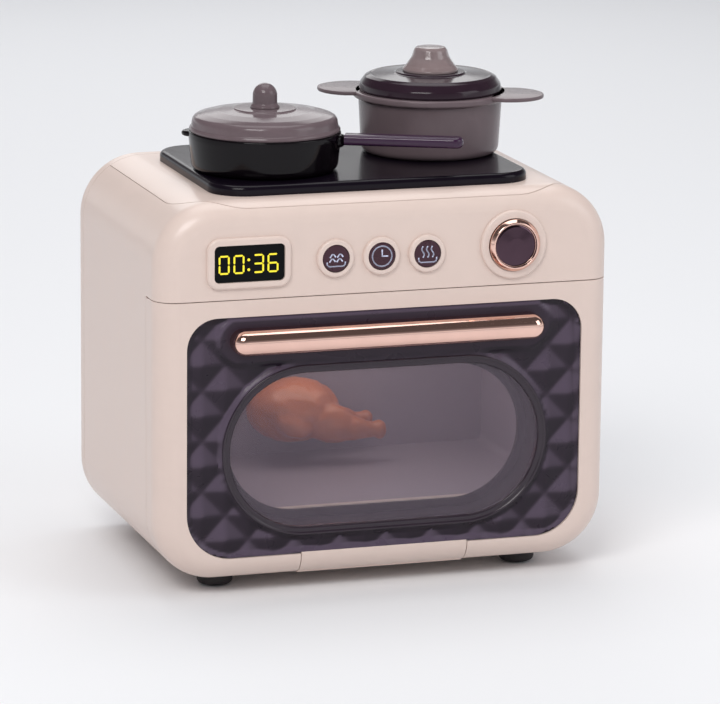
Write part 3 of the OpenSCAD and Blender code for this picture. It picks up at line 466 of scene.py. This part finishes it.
# Ring round the window, as (inset, y): a raised outer ridge, a shallow channel and a smooth inner band
RING_SECTION = [(0, 0.55), (0, -0.02), (0.1, -0.2), (0.32, -0.3), (0.7, -0.3), (0.95, -0.18), (1.1, 0.02),
                (1.35, 0.1), (1.7, 0.06), (2.35, 0.02), (2.75, 0.08), (3.0, 0.26), (3.1, 0.6), (3.1, 3.35),
                (1.95, 3.35), (1.95, 0.55), (0, 0.55)]
bezel_rings = [stadium_ring(RING, i, y, n=48) for i, y in RING_SECTION]
bezel = make("window_bezel", loft(bezel_rings, close_ends=False), RING_MAT, "door", ("window_ring",),
             sharp=50)


# ---------- Handle and knob ----------

BAR_STEPS = 14
# The front edge's quarter ellipse, in across the bar and back from its front
BAR_IN, BAR_BACK = 4.7, 4.6


def handle_bar():
    """Bar with a rounded front, lofted outwards from its foot on the panel."""
    rings = [stadium_ring(HANDLE, inset, GLASS["y"]) for inset in (0.6, 0)]
    for k in range(BAR_STEPS + 1):
        a = math.pi / 2 * k / BAR_STEPS
        rings.append(stadium_ring(HANDLE, BAR_IN * (1 - math.cos(a)),
                                  -HANDLE["out"] + BAR_BACK * (1 - math.sin(a))))
    return loft(rings)


bar = make("door_handle_bar", handle_bar(), ROSE, "door", ("door_handle",), sharp=50)

knob_at = facing(KNOB["x"], 0.2, KNOB["z"])
knob_r = KNOB["r"]
knob_prof = rounded([(0, 0.5, 0), (knob_r - 0.3, 0.5, 0), (knob_r, 0.9, 0.2), (knob_r, 2.6, 0.6),
                     (knob_r - 1.1, 4.0, 0.6), (knob_r - 1.6, 4.0, 0.2), (knob_r - 1.85, 3.2, 0.2),
                     (0, 3.1, 0)])
knob = make("knob_bezel", lathe(knob_prof, knob_at, 120), ROSE, "knob", ("knob_cap",), sharp=50)
# Domed face of the knob, its dark tone a painted reflection
face_prof = rounded([(0, 3.0, 0), (knob_r - 2.0, 3.0, 0), (knob_r - 2.0, 3.3, 0.15),
                     (knob_r - 2.8, 3.65, 0.5), (3.0, 4.1, 7), (0, 4.1, 0)])
face = make("knob_face", lathe(face_prof, knob_at), KNOB_PAINTED_REFLECTION, "knob", sharp=50)


# ---------- Display digits and button marks ----------

# Centre of the display's digits, and the depths between which they and the buttons' marks stand
DISP_X, DISP_Z = -55.2, CONTROL_Z - 0.3
DIGIT_Y = (-0.66, -0.55)
MARK_Y = (-1.45, -1.32)
# Width of the marks' strokes, and half the width and the corner radius of their trays
MARK_W = 0.52
TRAY_W, TRAY_R = 3.6, 1.2
SEGS = {"0": "abcdef", "3": "abgcd", "6": "afgedc"}


def plate(bm, poly, span):
    """Flat polygon in x, z (mm), extruded between two depths."""
    a, b = ([bm.verts.new(mm(x, y, z)) for x, z in poly] for y in span)
    bm.faces.new(a)
    bm.faces.new(list(reversed(b)))
    for k in range(len(poly)):
        j = (k + 1) % len(poly)
        bm.faces.new((a[k], b[k], b[j], a[j]))


def stroke(bm, line, closed=False):
    """Printed line of a button's mark along points in x, z (mm), with mitred corners."""
    n = len(line)
    left, right = [], []
    for i, (x, z) in enumerate(line):
        p = Vector((x, z))
        before = (p - Vector(line[(i - 1) % n])).normalized() if closed or i > 0 else None
        after = (Vector(line[(i + 1) % n]) - p).normalized() if closed or i < n - 1 else None
        d = ((before or after) + (after or before)).normalized()
        nrm = Vector((-d.y, d.x))
        ref = before or after
        k = 1 / max(nrm.dot(Vector((-ref.y, ref.x))), 0.5)
        left.append(p + nrm * MARK_W / 2 * k)
        right.append(p - nrm * MARK_W / 2 * k)
    for i in range(n if closed else n - 1):
        j = (i + 1) % n
        plate(bm, [tuple(left[i]), tuple(left[j]), tuple(right[j]), tuple(right[i])], MARK_Y)


def digit(bm, ch, cx, w=4.3, h=7.3, t=0.68, gap=0.13):
    """One digit of seven segments, t wide, with pointed ends."""
    hw, hh = w / 2 - t / 2, h / 2 - t / 2
    ends = {"a": ((-hw, hh), (hw, hh)), "d": ((-hw, -hh), (hw, -hh)), "g": ((-hw, 0), (hw, 0)),
            "f": ((-hw, hh), (-hw, 0)), "b": ((hw, hh), (hw, 0)),
            "e": ((-hw, 0), (-hw, -hh)), "c": ((hw, 0), (hw, -hh))}
    for s in SEGS[ch]:
        (ax, az), (bx, bz) = ends[s]
        d = Vector((bx - ax, bz - az)).normalized()
        nrm = Vector((-d.y, d.x)) * t / 2
        a = Vector((ax, az)) + d * gap
        b = Vector((bx, bz)) - d * gap
        poly = [a, a + d * t / 2 + nrm, b - d * t / 2 + nrm, b, b - d * t / 2 - nrm, a + d * t / 2 - nrm]
        plate(bm, [(cx + p.x, DISP_Z + p.y) for p in poly], DIGIT_Y)


def display_digits():
    """Four digits and the two dots between them."""
    bm = bmesh.new()
    for ch, cx in zip("0036", (-9.9, -4.1, 3.6, 9.3)):
        digit(bm, ch, DISP_X + cx)
    for dz in (1.6, -2.2):
        plate(bm, [(DISP_X - 0.25 + 0.55 * math.cos(math.pi * k / 6),
                    DISP_Z + dz + 0.55 * math.sin(math.pi * k / 6)) for k in range(12)], DIGIT_Y)
    return make("display_digits", bm, DIGIT, "housing", sharp=30)


def tray(bm, cx, cz, lift):
    """Shallow tray with round lower corners, its ends lift high."""
    pts = [(cx - TRAY_W, cz + lift)]
    for side, start in ((-1, math.pi), (1, -math.pi / 2)):
        for k in range(7):
            a = start + math.pi / 2 * k / 6
            pts.append((cx + side * (TRAY_W - TRAY_R) + TRAY_R * math.cos(a),
                        cz + TRAY_R + TRAY_R * math.sin(a)))
    pts.append((cx + TRAY_W, cz + lift))
    stroke(bm, pts)


def mark_bake():
    """Two rows of food over a tray."""
    bm = bmesh.new()
    cx, cz = BUTTONS["bake"], CONTROL_Z
    tray(bm, cx, cz - 3.0, 1.7)
    for row in (0, 1):
        for side in (-1, 1):
            x = cx + side * 1.45 + 0.2 * row
            z = cz - 1.3 + 1.75 * row
            stroke(bm, [(x - 1.25, z), (x - 0.35, z + 1.2), (x + 0.25, z + 1.2), (x + 1.1, z + 0.15)])
    return make("mark_bake", bm, PRINT, "bake_button", sharp=30)


def mark_timer(r=3.9, n=40):
    """Clock face with two hands."""
    bm = bmesh.new()
    cx, cz = BUTTONS["timer"], CONTROL_Z
    stroke(bm, [(cx + r * math.cos(2 * math.pi * k / n), cz + r * math.sin(2 * math.pi * k / n))
                for k in range(n)], closed=True)
    stroke(bm, [(cx, cz + 2.6), (cx, cz), (cx + 2.4, cz)])
    return make("mark_timer", bm, PRINT, "timer_button", sharp=30)


def mark_steam():
    """Three waves over a tray."""
    bm = bmesh.new()
    cx, cz = BUTTONS["steam"], CONTROL_Z
    tray(bm, cx, cz - 3.3, 1.9)
    for k in (-1, 0, 1):
        heights = [i * 0.36 for i in range(13)]
        stroke(bm, [(cx + k * 1.9 + 0.5 * math.sin(t * 1.45), cz - 1.4 + t) for t in heights])
    return make("mark_steam", bm, PRINT, "steam_button", sharp=30)


digits = display_digits()
for o in (mark_bake(), mark_timer(), mark_steam()):
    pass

# Each return spring behind its button gets its own copy of its mesh
for name, x in BUTTONS.items():
    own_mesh(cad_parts["spring_" + name])


# ---------- Cookware ----------

# Wall of the pan and the pot, and the pot's ears as seen from above: an arc, and two corners inside the rim
WALL = 1.8
EAR = dict(r=14, out=31.3, root=26.8, half=13.0)
# Height of each lid above its vessel's rim, where its knob stands
PAN_LID_H, POT_LID_H = 8.8, 7.6


def vessel_profile(size, foot, lip, bead, neck, under_r, top_r):
    """Section of a pan or pot: its rim is a bead that stands out by lip over a neck."""
    r, h = size["r"], size["h"]
    return rounded([(0, 0, 0), (r - 1.2, 0, foot), (r, h - bead - neck, 0.6), (r + lip, h - bead, under_r),
                    (r + lip, h, top_r), (r - WALL, h, 0.6), (r - WALL - 0.6, WALL, foot - 0.8),
                    (0, WALL, 0)])


def beside(vessel, out, angle, z):
    """Upright place at height z, out from a vessel's axis in the direction of angle."""
    off = Matrix.Rotation(angle, 4, "Z") @ Vector((out / 1000, 0, 0))
    return Matrix.Translation(off) @ upright(vessel["x"], vessel["y"], z)


def turned_bar(l, w, h, at, angle, straight=12, n=30):
    """Rounded bar from at, running out along angle, its far end fully round in plan."""
    rings = []
    body = l - w / 2
    for i in range(n + 1):
        if i > straight:
            x = body + w / 2 * math.sin(math.pi / 2 * (i - straight) / (n - straight))
        else:
            x = body * i / straight
        u = min(max(x - body, 0) / (w / 2), 0.999)
        half = w / 2 * math.sqrt(1 - u * u)
        th = h / 2 * math.sqrt(1 - u ** 5)
        ring = []
        for k in range(24):
            c, s = math.cos(2 * math.pi * k / 24), math.sin(2 * math.pi * k / 24)
            yy = half * math.copysign(abs(c) ** 0.5, c)
            zz = th * math.copysign(abs(s) ** 0.6, s)
            ring.append(at @ Matrix.Rotation(angle, 4, "Z") @ Vector((x / 1000, yy / 1000, zz / 1000)))
        rings.append(ring)
    return loft(rings)


def ear(angle):
    """Half-round tab that grows out of the pot's rim."""
    rings = []
    for inset, dz in ((0.5, -1.6), (0.1, -1.45), (0, -1.1), (0, -0.45), (0.15, -0.12), (0.6, 0)):
        r = EAR["r"] - inset
        arc = [-math.pi / 2 + math.pi * k / 48 for k in range(49)]
        ring = [(EAR["out"] + r * math.cos(a), r * math.sin(a), dz) for a in arc]
        ring += [(EAR["root"], EAR["half"] - inset, dz), (EAR["root"], -EAR["half"] + inset, dz)]
        rings.append([upright(POT["x"], POT["y"], POT_RIM) @ Matrix.Rotation(angle, 4, "Z")
                      @ (Vector(p) / 1000) for p in ring])
    return loft(rings)


pan_prof = vessel_profile(PAN, foot=3.2, lip=0.0, bead=1.6, neck=0.6, under_r=0.3, top_r=0.7)
bm = lathe(pan_prof, upright(PAN["x"], PAN["y"], PAN["z"]), 120)
# The lug that holds the handle, and the short lip across from it
for ang, l, h, low in ((PAN["turn"], 3.0, 5.2, 3.3), (PAN["turn"] + math.pi, 4.0, 2.4, 1.8)):
    join(bm, turned_bar(l, w=10, h=h, at=beside(PAN, PAN["r"] - 1, ang, PAN_RIM - low), angle=ang))
pan = make("pan_vessel", bm, PAN_MAT, "pan", ("pan_body",))

grip_at = beside(PAN, PAN["r"] + 1.8, PAN["turn"], PAN_RIM - 2.6)
grip = make("pan_grip", turned_bar(l=45.8, w=8, h=4.3, at=grip_at, angle=PAN["turn"]), PLUM,
            "pan", ("pan_handle",))

pan_lid_prof = rounded([
    (0, -0.2, 0), (25.8, -0.2, 0.2), (25.9, -1.75, 0.2), (27.2, -1.75, 0.3), (27.3, 0, 0.1),
    (28.9, 0, 0.4), (29.3, 0.8, 0.5), (28.9, 1.5, 0.5), (28.45, 1.9, 0.4), (27.9, 5.6, 3.4),
    (23.4, 6.9, 3.4), (18, 7.8, 6), (12.7, 8.2, 0.4), (12.2, 8.4, 0.3), (12.0, PAN_LID_H, 0.4),
    (0, PAN_LID_H, 0)])
lid = make("pan_lid_dome", lathe(pan_lid_prof, upright(PAN["x"], PAN["y"], PAN_RIM), 120), TAUPE,
           "pan_cover", ("pan_lid",), sharp=45)
tip_r, tip_h = 4.75, 4.8
top_prof = rounded([(0, 0, 0), (5.8, 0, 0.3), (5.6, 0.8, 0.8), (4.8, 1.7, 1.2), (tip_r, tip_h, 0)])
top_prof += [(tip_r * math.cos(math.pi * k / 40), tip_h + tip_r * math.sin(math.pi * k / 40))
             for k in range(1, 20)]
top_prof.append((0, tip_h + tip_r))
tip = make("pan_lid_button", lathe(top_prof, upright(PAN["x"], PAN["y"], PAN_RIM + PAN_LID_H), 64), TAUPE,
           "pan_cover", ("pan_lid_knob",), sharp=60)

pot_prof = vessel_profile(POT, foot=3.4, lip=2.1, bead=2.4, neck=0.8, under_r=0.9, top_r=1.0)
bm = lathe(pot_prof, upright(POT["x"], POT["y"], POT["z"]), 120)
for ang in (POT["turn"], POT["turn"] + math.pi):
    join(bm, ear(ang))
pot = make("pot_vessel", bm, POT_MAT, "pot", ("pot_body",))

pot_lid_prof = rounded([
    (0, -0.2, 0), (25.0, -0.2, 0.2), (25.1, -1.75, 0.2), (26.0, -1.75, 0.3), (26.1, 0, 0.1),
    (27.7, 0, 0.4), (28.1, 0.8, 0.5), (27.7, 3.0, 2), (25.9, 5.6, 1.6), (24.0, 6.5, 0.8), (23.2, 6.3, 0.3),
    (14.6, 6.8, 0.4), (13.9, 7.0, 0.3), (13.6, 7.55, 0.5), (0, POT_LID_H, 0)])
plid = make("pot_lid_disc", lathe(pot_lid_prof, upright(POT["x"], POT["y"], POT_RIM), 120), LID_PLUM,
            "pot_cover", ("pot_lid",), sharp=45)
cone_prof = rounded([(0, 0, 0), (11.0, 0, 0.3), (11.0, 0.9, 0.6), (9.6, 2.4, 1.5), (7.4, 5.6, 4),
                     (6.5, 8.4, 1), (5.7, 9.5, 0.9), (0, 9.55, 0)])
cone = make("pot_lid_cone", lathe(cone_prof, upright(POT["x"], POT["y"], POT_RIM + POT_LID_H), 64),
            KNOB_CLEAR, "pot_cover", ("pot_lid_knob",), sharp=60)


# ---------- Roast ----------

ROAST_AT = (-2.5, 84, 49)
# The roast's lumps, from its middle: x, y, z, the half sizes in x, y and z, and the tilt in radians.
# The second set stands on both sides.
BODY_LUMPS = [(-9, 0, 2, 19.3, 13.8, 13.2, 0), (-14, -4, 4, 12, 9, 9.6, 0)]
SIDE_LUMPS = [(4, 7.8, -2.5, 11.5, 6.5, 8.2, 0.3), (13, 8.6, -5, 8.5, 4.2, 5.2, 0.15),
              (20, 8.8, -6, 5.5, 3.0, 3.5, 0), (24.6, 8.8, -6.2, 3.0, 3.5, 4.2, 0),
              (-12, 11.5, -2, 8, 3.4, 4.6, 0.4)]
PEG = dict(r=4.4, l=14.0, back=101.9)
PEG_PLAIN_FROM = 98


def roast():
    """Lumps melted into one fowl on its peg, with a slightly uneven skin."""
    bm = bmesh.new()
    lumps = BODY_LUMPS + [(x, y * s, *rest) for s in (-1, 1) for x, y, *rest in SIDE_LUMPS]
    for x, y, z, sx, sy, sz, tilt in lumps:
        place = (Matrix.Translation(mm(ROAST_AT[0] + x, ROAST_AT[1] + y, ROAST_AT[2] + z))
                 @ Matrix.Rotation(tilt, 4, "Y") @ Matrix.Diagonal((sx / 1000, sy / 1000, sz / 1000, 1)))
        bmesh.ops.create_icosphere(bm, subdivisions=3, radius=1, matrix=place)
    join(bm, lathe([(0, 0), (PEG["r"], 0), (PEG["r"], PEG["l"]), (0, PEG["l"])],
                   facing(ROAST_AT[0], PEG["back"], ROAST_AT[2]), 32))
    me = bpy.data.meshes.new("roast_raw")
    bm.to_mesh(me)
    bm.free()
    o = bpy.data.objects.new("roast_raw", me)
    bpy.context.collection.objects.link(o)
    melt = o.modifiers.new("remesh", "REMESH")
    melt.mode = "VOXEL"
    melt.voxel_size = 0.0009
    o.modifiers.new("smooth", "SMOOTH").iterations = 6
    dg = bpy.context.evaluated_depsgraph_get()
    out = bmesh.new()
    out.from_mesh(o.evaluated_get(dg).to_mesh())
    bpy.data.objects.remove(o)
    plain_y = mm(0, PEG_PLAIN_FROM, 0).y
    for v in out.verts:
        n = noise.noise(v.co * 260) * 0.00035 + noise.noise(v.co * 700) * 0.00012
        if v.co.y < plain_y:
            v.co += v.normal * n
    return make("roast_fowl", out, ROAST, "housing", ("toy_roast",), sharp=80)


bird = roast()


# ---------- Floor, light and camera ----------

FLOOR_SIZE = 6
# Just below the feet, so that the two faces don't meet
FLOOR_Z = -0.0005


def pale(name, colour):
    """Matt material for the floor."""
    m, t, b = nodes_of(name)
    b.inputs["Base Color"].default_value = colour
    b.inputs["Roughness"].default_value = 0.9
    b.inputs["Specular IOR Level"].default_value = 0.1
    return m


def studio_world():
    """Plain light from all round; the camera, gloss and glass see a pale horizon under a darker sky."""
    world = bpy.data.worlds.new("studio")
    bpy.context.scene.world = world
    world.use_nodes = True
    t = world.node_tree
    lit = t.nodes["Background"]
    lit.inputs["Color"].default_value = (0.93, 0.95, 1.0, 1)
    lit.inputs["Strength"].default_value = 0.47
    shown = t.nodes.new("ShaderNodeBackground")
    shown.inputs["Strength"].default_value = 1.0
    where = t.nodes.new("ShaderNodeTexCoord")
    split = t.nodes.new("ShaderNodeSeparateXYZ")
    t.links.new(where.outputs["Generated"], split.inputs[0])
    sky = t.nodes.new("ShaderNodeValToRGB")
    stops = sky.color_ramp.elements
    stops[0].position, stops[0].color = 0.06, (0.90, 0.92, 0.94, 1)
    stops[1].position, stops[1].color = 0.42, (0.10, 0.09, 0.09, 1)
    stops.new(0.2).color = (0.30, 0.29, 0.30, 1)
    t.links.new(split.outputs["Z"], sky.inputs["Fac"])
    t.links.new(sky.outputs["Color"], shown.inputs["Color"])
    rays = t.nodes.new("ShaderNodeLightPath")
    seen = rays.outputs["Is Camera Ray"]
    for kind in ("Is Glossy Ray", "Is Transmission Ray"):
        either = t.nodes.new("ShaderNodeMath")
        either.operation = "MAXIMUM"
        t.links.new(seen, either.inputs[0])
        t.links.new(rays.outputs[kind], either.inputs[1])
        seen = either.outputs[0]
    mix = t.nodes.new("ShaderNodeMixShader")
    t.links.new(seen, mix.inputs[0])
    t.links.new(lit.outputs[0], mix.inputs[1])
    t.links.new(shown.outputs[0], mix.inputs[2])
    t.links.new(mix.outputs[0], t.nodes["World Output"].inputs["Surface"])


def area(name, loc, target, size, power, colour=(1, 1, 1)):
    """Rectangular lamp at loc that points at target."""
    d = bpy.data.lights.new(name, "AREA")
    d.shape = "RECTANGLE"
    d.size, d.size_y = size
    d.energy = power
    d.color = colour
    o = bpy.data.objects.new(name, d)
    o.location = loc
    o.rotation_mode = "QUATERNION"
    o.rotation_quaternion = (Vector(target) - Vector(loc)).to_track_quat("-Z", "Y")
    bpy.context.collection.objects.link(o)


def camera(loc, yaw, pitch, roll):
    """Long lens at loc: yaw to the right of +y, pitch down, and roll, in degrees."""
    data = bpy.data.cameras.new("camera")
    data.sensor_fit = "HORIZONTAL"
    data.sensor_width = 36
    data.lens = 225
    data.clip_start = 0.05
    data.clip_end = 30
    o = bpy.data.objects.new("camera", data)
    yaw, pitch, roll = (math.radians(v) for v in (yaw, pitch, roll))
    ahead = Vector((math.sin(yaw) * math.cos(pitch), math.cos(yaw) * math.cos(pitch), -math.sin(pitch)))
    right = Vector((math.cos(yaw), -math.sin(yaw), 0))
    up = right.cross(ahead)
    rolled = (right * math.cos(roll) + up * math.sin(roll), -right * math.sin(roll) + up * math.cos(roll),
              -ahead)
    o.matrix_world = Matrix.Translation(loc) @ Matrix(rolled).transposed().to_4x4()
    bpy.context.collection.objects.link(o)
    bpy.context.scene.camera = o


bm = bmesh.new()
bmesh.ops.create_grid(bm, x_segments=2, y_segments=2, size=FLOOR_SIZE)
me = bpy.data.meshes.new("floor")
bm.to_mesh(me)
bm.free()
floor = bpy.data.objects.new("floor", me)
floor.location = (0, 0, FLOOR_Z)
bpy.context.collection.objects.link(floor)
me.materials.append(pale("floor_pale", (0.82, 0.82, 0.83, 1)))

studio_world()
area("key", (-0.9, -1.3, 1.5), (0, 0, 0.1), size=(1.0, 0.8), power=20, colour=(1.0, 0.985, 0.97))
area("fill", (1.3, -1.0, 0.9), (0, 0, 0.1), size=(1.0, 1.0), power=6, colour=(0.96, 0.98, 1.0))
area("top", (0.1, 0.3, 1.6), (0, 0, 0.1), size=(1.2, 1.2), power=9)
area("back", (0.3, 1.5, 0.9), (0, 0, 0.1), size=(1.0, 0.8), power=4)
# The oven's own lamp, under the cavity's roof
area("inside", (0, 0.004, 0.1035), (0, 0.004, 0), size=(0.11, 0.05), power=0.03, colour=(1.0, 0.93, 0.86))

camera((-0.5310, -1.6484, 0.4704), yaw=18.09, pitch=12.70, roll=0.56)

bpy.context.scene.view_settings.view_transform = "Standard"
